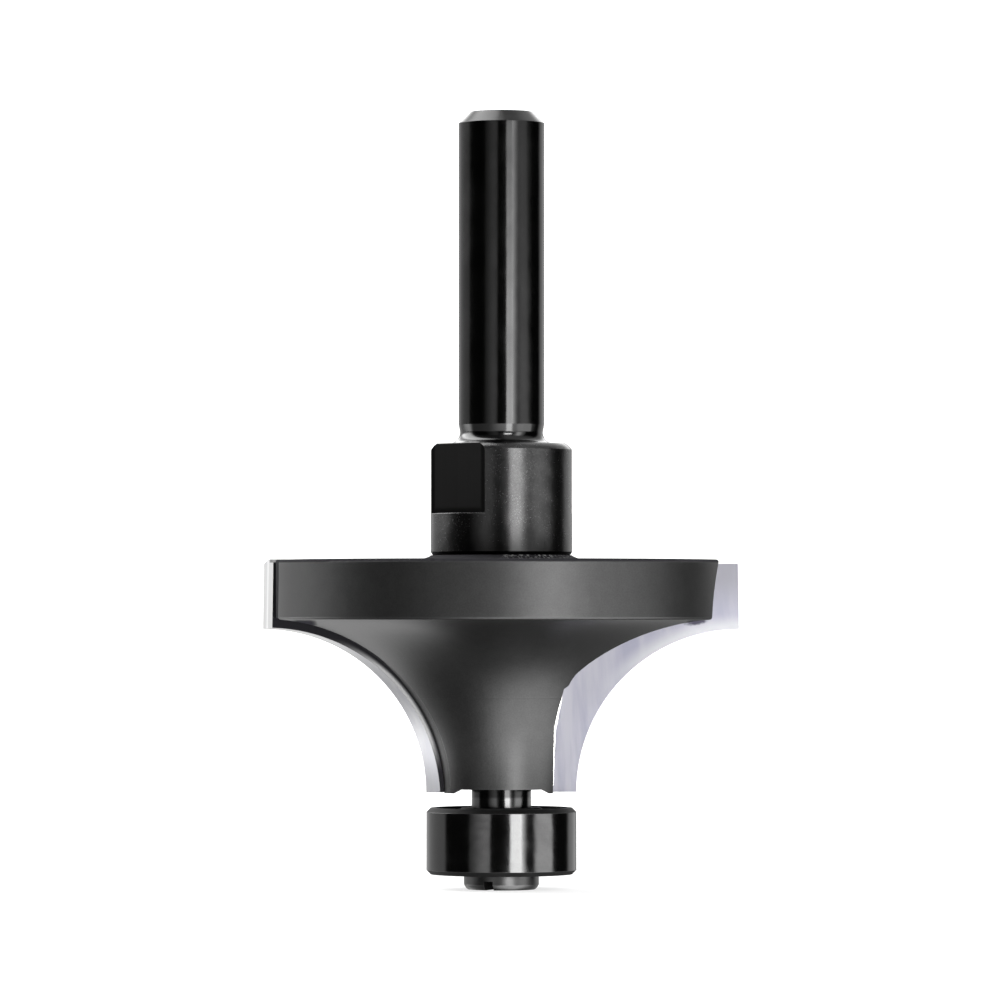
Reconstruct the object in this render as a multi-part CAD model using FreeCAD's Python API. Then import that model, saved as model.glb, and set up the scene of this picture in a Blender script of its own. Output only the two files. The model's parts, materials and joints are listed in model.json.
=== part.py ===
import FreeCAD, Part
import math
import os

# Two-wing corner-rounding router bit with a guide bearing.
# Millimetres. Z is the bit's axis, with the shank up and the bearing screw at the bottom on z = 0.
# The viewer's side is -Y. Seen from the shank the bit turns clockwise, so the right wing (+X) cuts towards -Y.
# The left wing is the right one turned half a turn about Z.

# Clearances and edges
fit_gap = 0.02          # radial, between a shaft and its hole
braze_gap = 0.03        # filler between a carbide tip and its pocket
race_gap = 0.01         # radial, between a ball and the bottom of each raceway
pocket_gap = 0.08       # between a ball and its cage pocket
shield_gap = 0.13       # radial, between a shield and the inner ring
bevel_crown = 0.06      # how far a polished bevel stands out in its middle, as a share of its width

# Bearing screw: slotted, with a low head
screw_head_d = 7.0
screw_head_h = 1.4
head_bevel_in = 0.35
head_bevel_up = 0.47
slot_w = 0.8
slot_depth = 0.8
slot_turn = 20.3        # degrees, from the front towards the left
screw_thread_len = 7.0
screw_end_bevel = 0.4

# Guide bearing
bearing_d = 14.0
bearing_bore = 4.0
bearing_w = 6.2
ring_bevel = 0.4
bore_bevel = 0.2
ball_d = 2.6
ball_count = 7
pitch_d = 9.4
race_ratio = 0.52       # raceway radius as a share of the ball's diameter
race_depth = 0.5        # how far a ring's shoulder stands above the bottom of its raceway
shield_t = 0.25
shield_sink = 0.45      # from the bearing's side face down to the shield's rim
shield_dish = 0.15      # how far the shield's disc stands out from its rim
shield_rim_w = 0.4
shield_seat_w = 0.65    # radial width of the step that the shield's rim lies on
snap_t = 0.25
snap_w = 0.45
snap_bite = 0.2         # depth of the groove that holds the retaining ring
snap_open = 40.0        # degrees, the opening in the retaining ring
cage_t = 0.25
cage_w = 0.9
rivet_d = 0.44
rivet_head_d = 0.7
rivet_head_h = 0.15

# Arbor
neck_d = 5.55
neck_len = 1.8          # from the bearing to the nose of the cutter head
tap_depth = 8.6         # threaded hole for the bearing screw, from the neck's end
spigot_d = 6.0
spigot_start = 0.2      # how far inside the nose the spigot ends
thread_d = 8.0
thread_len = 11.12      # from the collar's seat down
thread_end_bevel = 0.5
undercut_depth = 0.5
undercut_len = 1.0
collar_d = 13.2
collar_len = 10.43
collar_top_bevel = 0.6
collar_foot_in = 0.18
collar_foot_up = 0.31
flat_across = 10.0      # spanner size
flat_len = 6.55         # from the collar's top face down
flat_turn = 54.2        # degrees, the first flat's facing, from the front towards the left
shank_d = 8.0
shank_len = 30.95
shank_bevel = 1.05
groove_depth = 0.135    # relief groove at the shank's foot
groove_fillet = 1.05
groove_run = 0.7

# Cutter head
head_len = 21.72        # from the nose's face to the collar's seat
nose_recess = 0.37      # how far the wings and tips reach below the nose's face
recess_half_w = 3.7
recess_side_run = 0.7
flange_d = 42.6
flange_top_round = 0.3
flange_foot_round = 0.25
hub_d = 15.2
hub_top_d = 13.4
hub_h = 0.44
hub_edge_bevel = 0.1
bore_floor_gap = 0.4    # free space below the end of the thread
mouth_bevel = 0.3
cove_step = 0.94        # how far the tips stand out from the head's cove
cove_shift = 0.25       # how much further out the cove's centre lies

# Gullets
gullet_cutter_r = 12.5
gullet_centre_y = 3.6   # the milling cutter's axis, behind the bit's own
gullet_mouth_y = 7.6    # half width of the open stretch below the cutter's arc
gullet_wall_sweep = 45.0  # degrees of the cutter's arc above its axis, then straight up
gullet_floor_x = 4.6
gullet_floor_rise = 6.2  # straight part of the floor, up from the tips' lower ends
gullet_floor_lean = 14.0
gullet_floor_twist = 2.0
gullet_corner_r = 0.8
wing_step = 0.25        # how far a tip's rake face stands out from the wing's own face

# Carbide tips
cut_r = 15.2            # radius that the bit leaves on a workpiece
rake_offset = 1.0       # rake face, behind the plane through the axis
tip_t = 2.2
tip_side_relief = 0.95  # how much nearer to the axis a tip's straight side lies at its back
tip_arc_in = 0.5        # the cut arc at a tip's back: its centre lies so much nearer to the axis,
tip_arc_drop = 0.71     # so much lower,
tip_arc_grow = 0.85     # and its radius is so much larger
tip_foot_relief = 0.12
tip_side_lean = 0.1
tip_side_h = 6.49       # straight side above the cut arc, at the rake face
tip_top_w = 5.11
tip_front_bevel_h = 0.39  # bevel along the top edge, at the rake face
tip_front_bevel_w = 1.1
tip_back_bevel = 0.3    # along the top edge, at the back
tip_floor_inset = 0.2   # strip of steel between the gullet's floor and a tip
band_depth = 0.12       # ground relief on the steel behind a tip
band_foot_w = 0.9
band_top_w = 2.4

# Levels along the axis
z_bearing = screw_head_h
z_neck = z_bearing + bearing_w
z_nose = z_neck + neck_len
z_foot = z_nose - nose_recess
z_seat = z_nose + head_len
z_collar_top = z_seat + collar_len
z_top = z_collar_top + shank_len
z_flange_top = z_seat - hub_h
z_arc_end = z_foot + cut_r
z_floor_bend = z_foot + gullet_floor_rise
z_thread_end = z_seat - thread_len

# Shared radii and places
bearing_r = bearing_d / 2
pitch_r = pitch_d / 2
ball_r = ball_d / 2
race_r = race_ratio * ball_d
inner_race_bottom = pitch_r - ball_r - race_gap
outer_race_bottom = pitch_r + ball_r + race_gap
inner_shoulder_r = inner_race_bottom + race_depth
outer_shoulder_r = outer_race_bottom - race_depth
shield_seat_r = outer_shoulder_r + shield_seat_w
screw_r = bearing_bore / 2 - fit_gap
arc_centre_x = bearing_r + cut_r
flange_r = flange_d / 2
cove_centre_x = arc_centre_x + cove_shift
cove_r = cut_r + cove_step
floor_slope = math.tan(math.radians(gullet_floor_lean))
wing_face_y = rake_offset + wing_step
tip_back_y = rake_offset + tip_t
clear = 5.0             # how far a cutting shape reaches past the solid that it cuts

AXIS = FreeCAD.Vector(0, 0, 1)
ORIGIN = FreeCAD.Vector(0, 0, 0)


def spot(x, z, y=0.0):
    """Point from a place on the X-Z plane, moved along Y."""
    return FreeCAD.Vector(x, y, z)


def outline(start, *steps, y=0.0):
    """Closed wire on a plane of constant y: a step is a corner (x, z), or two points for an arc."""
    edges = []
    here = spot(*start, y=y)
    for step in steps + (start,):
        if isinstance(step[0], tuple):
            middle, end = (spot(*point, y=y) for point in step)
            edges.append(Part.Arc(here, middle, end).toShape())
        else:
            end = spot(*step, y=y)
            if here.isEqual(end, 1e-9):
                continue
            edges.append(Part.makeLine(here, end))
        here = end
    return Part.Wire(edges)


def turned(start, *steps, angle=360.0):
    """Solid of revolution about Z from a closed half outline of (radius, height) points."""
    return Part.Face(outline(start, *steps)).revolve(ORIGIN, AXIS, angle)


def arc_point(centre, radius, degrees):
    """Point of a circle on the X-Z plane."""
    turn = math.radians(degrees)
    return centre[0] + radius * math.cos(turn), centre[1] + radius * math.sin(turn)


def crowned(start, end):
    """Arc step over a polished bevel. Going from start to end, the outside lies on the right."""
    run, rise = end[0] - start[0], end[1] - start[1]
    middle = ((start[0] + end[0]) / 2 + bevel_crown * rise, (start[1] + end[1]) / 2 - bevel_crown * run)
    return middle, end


def prism_y(points, y_low, y_high):
    """Straight bar along Y over an outline of (x, z) points."""
    return Part.Face(outline(*points, y=y_low)).extrude(FreeCAD.Vector(0, y_high - y_low, 0))


def prism_x(edges, x_low, x_high):
    """Straight bar along X over a closed chain of edges at x_low."""
    return Part.Face(Part.Wire(edges)).extrude(FreeCAD.Vector(x_high - x_low, 0, 0))


def half_turn(shape):
    """Copy turned half a turn about the axis, for the left wing."""
    copy = shape.copy()
    copy.rotate(ORIGIN, AXIS, 180)
    return copy


def around(shape, count):
    """Copies spaced evenly about the axis."""
    copies = []
    for index in range(count):
        copy = shape.copy()
        copy.rotate(ORIGIN, AXIS, 360.0 * index / count)
        copies.append(copy)
    return copies


def single(shape):
    """The one solid that a cut or union leaves."""
    solids = shape.Solids
    if len(solids) != 1:
        raise ValueError("expected one solid, found %d" % len(solids))
    return solids[0]


# Bearing screw

def make_bearing_screw():
    head_r = screw_head_d / 2
    z_end = z_neck + screw_thread_len
    bevel_foot = (head_r - head_bevel_in, 0)
    body = turned(
        (0, 0),
        bevel_foot,
        crowned(bevel_foot, (head_r, head_bevel_up)),
        (head_r, z_bearing),
        (screw_r, z_bearing),
        (screw_r, z_end - screw_end_bevel),
        (screw_r - screw_end_bevel, z_end),
        (0, z_end),
    )
    slot = Part.makeBox(slot_w, 2 * screw_head_d, slot_depth + clear)
    slot.translate(FreeCAD.Vector(-slot_w / 2, -screw_head_d, -clear))
    slot.rotate(ORIGIN, AXIS, -slot_turn)
    return single(body.cut(slot))


# Guide bearing

def ring_side_steps(side_r, inner_r, z_face, inward):
    """Bevelled end of a ring's section, from its inner edge to its outer edge."""
    return (
        (inner_r, z_face + inward * bore_bevel),
        (inner_r + bore_bevel, z_face),
        (side_r - bore_bevel, z_face),
        (side_r, z_face + inward * bore_bevel),
    )


def make_inner_ring():
    z_low, z_high = z_bearing, z_neck
    z_mid = (z_low + z_high) / 2
    centre_r = inner_race_bottom + race_r
    half_w = math.sqrt(race_r ** 2 - (centre_r - inner_shoulder_r) ** 2)
    low = ring_side_steps(inner_shoulder_r, bearing_bore / 2, z_low, 1)
    high = ring_side_steps(inner_shoulder_r, bearing_bore / 2, z_high, -1)
    race = ((inner_race_bottom, z_mid), (inner_shoulder_r, z_mid + half_w))
    steps = low[1:] + ((inner_shoulder_r, z_mid - half_w), race) + tuple(reversed(high))
    return single(turned(low[0], *steps))


def ring_end(z_face, inward):
    """Section of the outer ring's end, from the shoulder out to the rim."""
    rim_z = z_face + inward * shield_sink
    seat_z = rim_z + inward * shield_t
    groove_z = rim_z - inward * snap_t
    return (
        (outer_shoulder_r, seat_z),
        (shield_seat_r, seat_z),
        (shield_seat_r, rim_z),
        (shield_seat_r + snap_bite, rim_z),
        (shield_seat_r + snap_bite, groove_z),
        (shield_seat_r, groove_z),
        (shield_seat_r, z_face),
        (bearing_r - ring_bevel, z_face),
        (bearing_r, z_face + inward * ring_bevel),
    )


def make_outer_ring():
    z_mid = (z_bearing + z_neck) / 2
    centre_r = outer_race_bottom - race_r
    half_w = math.sqrt(race_r ** 2 - (outer_shoulder_r - centre_r) ** 2)
    low = ring_end(z_bearing, 1)
    high = ring_end(z_neck, -1)
    race = ((outer_race_bottom, z_mid), (outer_shoulder_r, z_mid - half_w))
    steps = low[1:] + tuple(reversed(high)) + ((outer_shoulder_r, z_mid + half_w), race)
    return single(turned(low[0], *steps))


def make_shield(z_face, inward):
    rim_z = z_face + inward * shield_sink
    disc_z = rim_z - inward * shield_dish
    bore_r = inner_shoulder_r + shield_gap
    rim_r = shield_seat_r - fit_gap
    bend_r = rim_r - shield_rim_w
    return single(turned(
        (bore_r, disc_z),
        (bend_r - shield_dish, disc_z),
        (bend_r, rim_z),
        (rim_r, rim_z),
        (rim_r, rim_z + inward * shield_t),
        (bend_r, rim_z + inward * shield_t),
        (bend_r - shield_dish, disc_z + inward * shield_t),
        (bore_r, disc_z + inward * shield_t),
    ))


def make_snap_ring(z_face, inward):
    """Open retaining ring in the outer ring's groove, pressing on a shield's rim."""
    outer = shield_seat_r + snap_bite - fit_gap
    low = z_face + inward * shield_sink
    high = low - inward * (snap_t - fit_gap)
    ring = turned((outer - snap_w, low), (outer, low), (outer, high), (outer - snap_w, high),
                  angle=360.0 - snap_open)
    return single(ring)


def ball_centre():
    return FreeCAD.Vector(pitch_r, 0, (z_bearing + z_neck) / 2)


def make_balls():
    return around(Part.makeSphere(ball_r, ball_centre()), ball_count)


def rivet_spots():
    """Turns, in degrees, that put a rivet halfway between two balls."""
    return [360.0 * (index + 0.5) / ball_count for index in range(ball_count)]


def rivet_bar(radius, z_low, height):
    return Part.makeCylinder(radius, height, FreeCAD.Vector(pitch_r, 0, z_low), AXIS)


def make_cage_half(side):
    """Pressed ribbon: flat between the balls, domed over each of them. side is 1 above and -1 below."""
    centre = ball_centre()
    inner_r = pitch_r - cage_w / 2
    outer_r = pitch_r + cage_w / 2
    reach = 2 * ball_d
    z_base = centre.z if side > 0 else centre.z - reach
    band = turned((inner_r, z_base), (outer_r, z_base), (outer_r, z_base + reach), (inner_r, z_base + reach))
    z_flat = centre.z if side > 0 else centre.z - cage_t
    flat = turned((inner_r, z_flat), (outer_r, z_flat), (outer_r, z_flat + cage_t), (inner_r, z_flat + cage_t))
    pocket_r = ball_r + pocket_gap
    domes = around(Part.makeSphere(pocket_r + cage_t, centre), ball_count)
    pockets = around(Part.makeSphere(pocket_r, centre), ball_count)
    ribbon = flat.fuse([dome.common(band) for dome in domes]).cut(pockets)
    holes = []
    for turn in rivet_spots():
        hole = rivet_bar(rivet_d / 2 + fit_gap, centre.z - ball_d, 2 * ball_d)
        hole.rotate(ORIGIN, AXIS, turn)
        holes.append(hole)
    return single(ribbon.cut(holes))


def make_cage_rivets():
    z_mid = ball_centre().z
    rivets = []
    for turn in rivet_spots():
        shank = rivet_bar(rivet_d / 2, z_mid - cage_t, 2 * cage_t)
        upper = rivet_bar(rivet_head_d / 2, z_mid + cage_t, rivet_head_h)
        lower = rivet_bar(rivet_head_d / 2, z_mid - cage_t - rivet_head_h, rivet_head_h)
        rivet = single(shank.fuse([upper, lower]))
        rivet.rotate(ORIGIN, AXIS, turn)
        rivets.append(rivet)
    return Part.makeCompound(rivets)


# Arbor

def make_arbor():
    neck_r = neck_d / 2
    spigot_r = spigot_d / 2
    thread_r = thread_d / 2
    collar_r = collar_d / 2
    shank_r = shank_d / 2
    waist_r = shank_r - groove_depth
    tap_r = screw_r + fit_gap
    z_spigot = z_nose + spigot_start
    z_waist = z_collar_top + groove_fillet
    z_tap = z_neck + tap_depth
    fillet_centre = (waist_r + groove_fillet, z_waist)
    bevel_foot = (collar_r, z_collar_top - collar_top_bevel)
    body = turned(
        (0, z_tap + tap_r / 2),
        (tap_r, z_tap),
        (tap_r, z_neck),
        (neck_r, z_neck),
        (neck_r, z_spigot),
        (spigot_r, z_spigot),
        (spigot_r, z_thread_end),
        (thread_r - thread_end_bevel, z_thread_end),
        (thread_r, z_thread_end + thread_end_bevel),
        (thread_r, z_seat - undercut_len),
        (thread_r - undercut_depth, z_seat - undercut_len),
        (thread_r - undercut_depth, z_seat),
        (collar_r - collar_foot_in, z_seat),
        (collar_r, z_seat + collar_foot_up),
        bevel_foot,
        crowned(bevel_foot, (collar_r - collar_top_bevel, z_collar_top)),
        (waist_r + groove_fillet, z_collar_top),
        (arc_point(fillet_centre, groove_fillet, 225), (waist_r, z_waist)),
        (shank_r, z_waist + groove_run),
        (shank_r, z_top - shank_bevel),
        (shank_r - shank_bevel, z_top),
        (0, z_top),
    )
    slab = Part.makeBox(collar_d, collar_d, flat_len + clear)
    slab.translate(FreeCAD.Vector(-collar_d / 2, -flat_across / 2 - collar_d, z_collar_top - flat_len))
    slab = slab.cut(Part.makeCylinder(waist_r + groove_fillet, clear + 1, spot(0, z_collar_top), AXIS))
    slab.rotate(ORIGIN, AXIS, -flat_turn)
    return single(body.cut([slab, half_turn(slab)]))


# Cutter head

def make_head_blank(inset=0.0):
    """Turned blank of the head. An inset takes an even skin off its cove and flange."""
    rim_r = flange_r - inset
    arc_r = cove_r + inset
    centre = (cove_centre_x, z_foot)
    z_rim = z_foot + math.sqrt(arc_r ** 2 - (cove_centre_x - rim_r) ** 2)
    rim_angle = math.degrees(math.atan2(z_rim - z_foot, rim_r - cove_centre_x))
    middle = arc_point(centre, arc_r, (180 + rim_angle) / 2)
    thread_hole_r = thread_d / 2 + fit_gap
    spigot_hole_r = spigot_d / 2 + fit_gap
    z_shelf = z_thread_end - bore_floor_gap
    return turned(
        (spigot_hole_r, z_foot),
        (cove_centre_x - arc_r, z_foot),
        (middle, (rim_r, z_rim)),
        (rim_r, z_flange_top),
        (hub_d / 2, z_flange_top),
        (hub_top_d / 2, z_seat - hub_edge_bevel),
        (hub_top_d / 2 - hub_edge_bevel, z_seat),
        (thread_hole_r + mouth_bevel, z_seat),
        (thread_hole_r, z_seat - mouth_bevel),
        (thread_hole_r, z_shelf),
        (spigot_hole_r, z_shelf),
    )


def rim_edge(blank, z_low, z_high):
    """The flange's circular edge between two levels."""
    found = []
    for edge in blank.Edges:
        box = edge.BoundBox
        if box.ZLength < 1e-6 and z_low < box.ZMin < z_high and abs(box.XMax - flange_r) < 1e-6:
            found.append(edge)
    return found


def make_gullet():
    """Space that one gullet takes out of the head, for the right wing."""
    z_low = z_foot - clear
    z_high = z_seat + clear
    x_far = flange_r + clear
    swing = gullet_centre_y + gullet_mouth_y
    mouth_drop = math.sqrt(gullet_cutter_r ** 2 - swing ** 2)
    sweep = math.radians(gullet_wall_sweep)
    y_top = gullet_centre_y - gullet_cutter_r * math.cos(sweep)
    mouth_low = FreeCAD.Vector(0, -gullet_mouth_y, z_low)
    mouth = FreeCAD.Vector(0, -gullet_mouth_y, z_arc_end - mouth_drop)
    middle = FreeCAD.Vector(0, gullet_centre_y - gullet_cutter_r, z_arc_end)
    top = FreeCAD.Vector(0, y_top, z_arc_end + gullet_cutter_r * math.sin(sweep))
    wall_high = FreeCAD.Vector(0, y_top, max(z_high, top.z + clear))
    corner_high = FreeCAD.Vector(0, wing_face_y, wall_high.z)
    corner_low = FreeCAD.Vector(0, wing_face_y, z_low)
    side = prism_x([
        Part.makeLine(mouth_low, mouth),
        Part.Arc(mouth, middle, top).toShape(),
        Part.makeLine(top, wall_high),
        Part.makeLine(wall_high, corner_high),
        Part.makeLine(corner_high, corner_low),
        Part.makeLine(corner_low, mouth_low),
    ], 0, x_far)
    front = prism_y([
        (gullet_floor_x, z_low),
        (gullet_floor_x, z_floor_bend),
        (gullet_floor_x + (z_high - z_floor_bend) * floor_slope, z_high),
        (x_far + clear, z_high),
        (x_far + clear, z_low),
    ], -flange_d, clear)
    front.rotate(FreeCAD.Vector(gullet_floor_x, rake_offset, 0), AXIS, gullet_floor_twist)
    return single(side.common(front))


def rounded_gullet(gullet):
    """The milling cutter's corner radius, between the gullet's floor and its curved wall."""
    wall = []
    for edge in gullet.Edges:
        middle = edge.valueAt((edge.FirstParameter + edge.LastParameter) / 2)
        on_floor = middle.x < flange_r
        if on_floor and middle.y < -1 and edge.BoundBox.ZLength > 1 and edge.BoundBox.YLength > 0.01:
            wall.append(edge)
    return single(gullet.makeFillet(gullet_corner_r, wall))


def tip_inner_path(gap):
    """Inner edge of a tip, from its foot up: along the gullet's floor, then at 45 degrees to the top."""
    x_foot = gullet_floor_x + tip_floor_inset - gap
    z_tip_top = z_arc_end + tip_side_h
    x_top = arc_centre_x - tip_side_lean - tip_top_w - gap
    rise = (x_top - x_foot) - (z_tip_top - z_floor_bend)
    z_turn = z_floor_bend - rise / (1 - floor_slope)
    x_turn = x_foot + (z_turn - z_floor_bend) * floor_slope
    return x_foot, x_turn, z_turn, x_top, z_tip_top


def tip_wire(y, centre, radius, x_side, z_low):
    """Outline of a tip on a plane of constant y, from the cut arc, the straight side and the foot's level."""
    x_foot, x_turn, z_turn, x_top, z_tip_top = tip_inner_path(0)
    start_angle = 180 - math.degrees(math.asin((z_low - centre[1]) / radius))
    end_angle = math.degrees(math.acos((x_side - centre[0]) / radius))
    start = arc_point(centre, radius, start_angle)
    middle = arc_point(centre, radius, (start_angle + end_angle) / 2)
    end = arc_point(centre, radius, end_angle)
    return outline(
        (x_foot, z_low),
        start,
        (middle, end),
        (x_side - tip_side_lean, z_tip_top),
        (x_top, z_tip_top),
        (x_turn, z_turn),
        (x_foot, z_floor_bend),
        y=y,
    )


def top_corner(y_edge, width, height, inward):
    """Bar along X that grinds a tip's top edge off. The width is measured inward, 1 or -1 along Y."""
    z_top_face = z_arc_end + tip_side_h
    low = FreeCAD.Vector(0, y_edge - inward * width, z_top_face - 2 * height)
    high = FreeCAD.Vector(0, y_edge + 2 * inward * width, z_top_face + height)
    corner = FreeCAD.Vector(0, low.y, high.z)
    return Part.Face(Part.makePolygon([low, high, corner, low])).extrude(spot(flange_r + clear, 0))


def make_tip():
    """Brazed carbide tip of the right wing, relieved from its rake face to its back."""
    face = tip_wire(rake_offset, (arc_centre_x, z_foot), cut_r, arc_centre_x, z_foot)
    back_centre = (arc_centre_x - tip_arc_in, z_foot - tip_arc_drop)
    back = tip_wire(tip_back_y, back_centre, cut_r + tip_arc_grow, arc_centre_x - tip_side_relief,
                    z_foot + tip_foot_relief)
    corners = [
        top_corner(rake_offset, tip_front_bevel_w, tip_front_bevel_h, 1),
        top_corner(tip_back_y, tip_back_bevel, tip_back_bevel, -1),
    ]
    return single(Part.makeLoft([face, back], True, True).cut(corners))


def make_tip_pocket():
    x_foot, x_turn, z_turn, x_top, z_tip_top = tip_inner_path(braze_gap)
    z_low = z_foot - clear
    rise = z_seat + clear - z_tip_top
    x_far = flange_r + clear
    return prism_y([
        (x_foot, z_low),
        (x_foot, z_floor_bend),
        (x_turn, z_turn),
        (x_top + rise, z_tip_top + rise),
        (x_far + rise, z_tip_top + rise),
        (x_far + rise, z_low),
    ], rake_offset, tip_back_y + braze_gap)


def make_ground_band():
    """Narrow relief ground on the steel just behind a tip, widening towards the flange.

    Only the skin of the cove and the flange is ground, so the space of the hub and the bore is kept out.
    """
    z_low = z_foot - clear
    z_high = z_seat + clear
    grow = (band_top_w - band_foot_w) / (z_flange_top - z_foot)
    y_start = tip_back_y - tip_t / 2
    y_low = tip_back_y + band_foot_w + grow * (z_low - z_foot)
    y_high = tip_back_y + band_foot_w + grow * (z_high - z_foot)
    corners = [
        FreeCAD.Vector(0, y_start, z_low),
        FreeCAD.Vector(0, y_low, z_low),
        FreeCAD.Vector(0, y_high, z_high),
        FreeCAD.Vector(0, y_start, z_high),
    ]
    wedge = Part.Face(Part.makePolygon(corners + corners[:1])).extrude(spot(flange_r + clear, 0))
    core = make_head_blank(band_depth)
    hub_space = Part.makeCylinder(flange_r - band_depth, 2 * clear, spot(0, z_flange_top - clear), AXIS)
    bore_space = Part.makeCylinder(cove_centre_x - cove_r - band_depth, z_seat - z_low, spot(0, z_low), AXIS)
    return wedge.cut([core, hub_space, bore_space])


def make_nose_recess():
    """Shallow slot with sloping sides across the nose, which leaves the wings standing proud."""
    z_low = z_foot - nose_recess
    low_half = recess_half_w + 2 * recess_side_run
    return prism_y([
        (-low_half, z_low),
        (-recess_half_w, z_nose),
        (recess_half_w, z_nose),
        (low_half, z_low),
    ], -flange_r, flange_r)


def make_cutter_head():
    blank = single(make_head_blank())
    blank = blank.makeFillet(flange_top_round, rim_edge(blank, z_flange_top - 0.1, z_seat))
    blank = blank.makeFillet(flange_foot_round, rim_edge(blank, z_foot, z_flange_top - 1))
    gullet = rounded_gullet(make_gullet())
    pocket = make_tip_pocket()
    band = make_ground_band()
    cuts = [make_nose_recess()]
    for shape in (gullet, pocket, band):
        cuts += [shape, half_turn(shape)]
    return single(blank.cut(cuts))


pieces = {
    "arbor": make_arbor(),
    "cutter_head": make_cutter_head(),
    "carbide_tip_right": make_tip(),
    "carbide_tip_left": half_turn(make_tip()),
    "bearing_screw": make_bearing_screw(),
    "bearing_inner_ring": make_inner_ring(),
    "bearing_outer_ring": make_outer_ring(),
    "shield_lower": make_shield(z_bearing, 1),
    "shield_upper": make_shield(z_neck, -1),
    "shield_ring_lower": make_snap_ring(z_bearing, 1),
    "shield_ring_upper": make_snap_ring(z_neck, -1),
    "cage_upper": make_cage_half(1),
    "cage_lower": make_cage_half(-1),
    "cage_rivets": make_cage_rivets(),
}
for number, ball in enumerate(make_balls(), start=1):
    pieces["ball_%d" % number] = ball

os.makedirs("parts", exist_ok=True)
for name, shape in pieces.items():
    if not shape.isValid():
        raise ValueError("%s is not a valid solid" % name)
    shape.exportStep("parts/%s.step" % name)
    print("%-20s %9.2f mm3, %d solid(s)" % (name, shape.Volume, len(shape.Solids)))
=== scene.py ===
import json
import math

import bpy
import numpy as np
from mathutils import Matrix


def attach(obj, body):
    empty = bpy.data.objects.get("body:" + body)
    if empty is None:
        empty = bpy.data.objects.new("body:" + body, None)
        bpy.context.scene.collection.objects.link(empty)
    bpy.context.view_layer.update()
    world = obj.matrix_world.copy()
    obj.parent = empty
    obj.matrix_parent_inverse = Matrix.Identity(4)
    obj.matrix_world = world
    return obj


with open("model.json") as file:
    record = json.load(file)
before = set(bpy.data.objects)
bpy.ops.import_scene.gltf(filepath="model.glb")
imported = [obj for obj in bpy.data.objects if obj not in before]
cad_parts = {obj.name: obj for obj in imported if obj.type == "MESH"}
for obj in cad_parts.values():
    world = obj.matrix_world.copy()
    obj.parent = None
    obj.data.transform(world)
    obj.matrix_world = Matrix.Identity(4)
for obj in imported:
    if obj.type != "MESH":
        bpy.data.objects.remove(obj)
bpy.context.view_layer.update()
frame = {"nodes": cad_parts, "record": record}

# Corner-rounding router bit: black arbor, blasted cutter head, ground carbide tips and a guide bearing.
# Metres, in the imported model's frame. Z is the bit's axis with the shank up, and the viewer stands at -Y.

mm = 0.001

# Levels of the bit that the finishes and the added pieces follow, from below up
slot_depth = 0.8 * mm       # slot in the lower face of the bearing screw
z_bearing = 1.4 * mm        # lower and upper faces of the guide bearing
z_neck = 7.6 * mm
z_foot = 9.03 * mm          # lower ends of the wings and tips
z_score = 17.9 * mm         # faint turned line round the cove
z_flange_foot = 25.13 * mm
z_hub_foot = 30.66 * mm
z_flange_top = 30.68 * mm
z_tip_top = 30.7 * mm
z_seat = 31.12 * mm         # seam between the head and the collar
z_collar_foot = 31.43 * mm
z_flat_foot = 35.0 * mm     # lower ledge of the spanner flats
z_collar_top = 41.55 * mm
z_light_shank = 44.0 * mm   # painted shade: the shank's tone darkens from the first of these levels to the second, as its highlight fades upwards
z_dark_shank = 72.0 * mm

# Sizes across the bit
slot_half_w = 0.4 * mm
slot_turn = math.radians(20.3)
ring_bevel = 0.4 * mm
hub_r = 7.65 * mm
flat_half = 5.0 * mm        # spanner flats, from the axis
flat_half_w = 4.3 * mm
flat_border = (3.5 * mm, 3.9 * mm)  # distance from a flat's middle line over which painted shade darkens it
flat_turn = math.radians(54.2)
cut_centre_x = 22.2 * mm    # centre of a tip's cut arc, level with the foot
cut_r = 15.2 * mm
back_centre_x = 21.7 * mm   # arc of a tip's back outline, nearer the axis, lower and larger
back_centre_z = 8.32 * mm
back_r = 16.05 * mm
cove_centre_x = 22.45 * mm  # centre of the head's cove, level with the foot
rake_y = 1.0 * mm           # plane of the right tip's rake face
wing_y = 1.25 * mm          # plane of the right wing's own face
tip_back_y = 3.2 * mm       # plane of the right tip's back
band_foot_w = 0.9 * mm      # width of the ground band behind a tip, at the foot and at the flange's top
band_top_w = 2.4 * mm
band_r = 16.8 * mm          # the band stays inside this radius about the cove's centre, or outside this x
band_rim_x = 20.6 * mm

# Painted shade on the rake face under the flange's corner, a dark patch: its middle line is z = centre height
# + slope * x
gap_shade_x, gap_shade_z = 18.15 * mm, 22.72 * mm
gap_shade_slope = 0.12
gap_shade_half_w, gap_shade_half_h = 1.2 * mm, 0.32 * mm

# Painted shade on the wing beside it, under the flange's corner
wing_shade_x = (17.2 * mm, 19.1 * mm)
wing_shade_z = (z_flange_foot - 0.55 * mm, z_flange_foot - 0.1 * mm)

# Part of the right tip's inner edge that the braze shows along, from below up
tip_inner_edge = np.array([(4.8, 9.6), (4.8, 15.23), (5.896, 19.626)]) * mm

# Section of the braze bead: distance from the tip's edge towards the axis, height above the wing's face
bead_section = np.array([
    (0.17, -0.02), (0.15, 0.05), (0.08, 0.17), (0.02, 0.25), (-0.06, 0.30), (-0.16, 0.32), (-0.26, 0.29),
    (-0.33, 0.24), (-0.33, 0.18), (-0.05, 0.18), (-0.05, -0.02),
]) * mm


# Node helpers

def fill_inputs(tree, inputs, values):
    """Fills inputs by name or number: a socket is linked, anything else is set."""
    for key, value in values.items():
        if isinstance(value, bpy.types.NodeSocket):
            tree.links.new(value, inputs[key])
        else:
            inputs[key].default_value = value


def spaced(values):
    """The same values with spaces for the underscores in their names."""
    return {key.replace("_", " "): value for key, value in values.items()}


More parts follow.
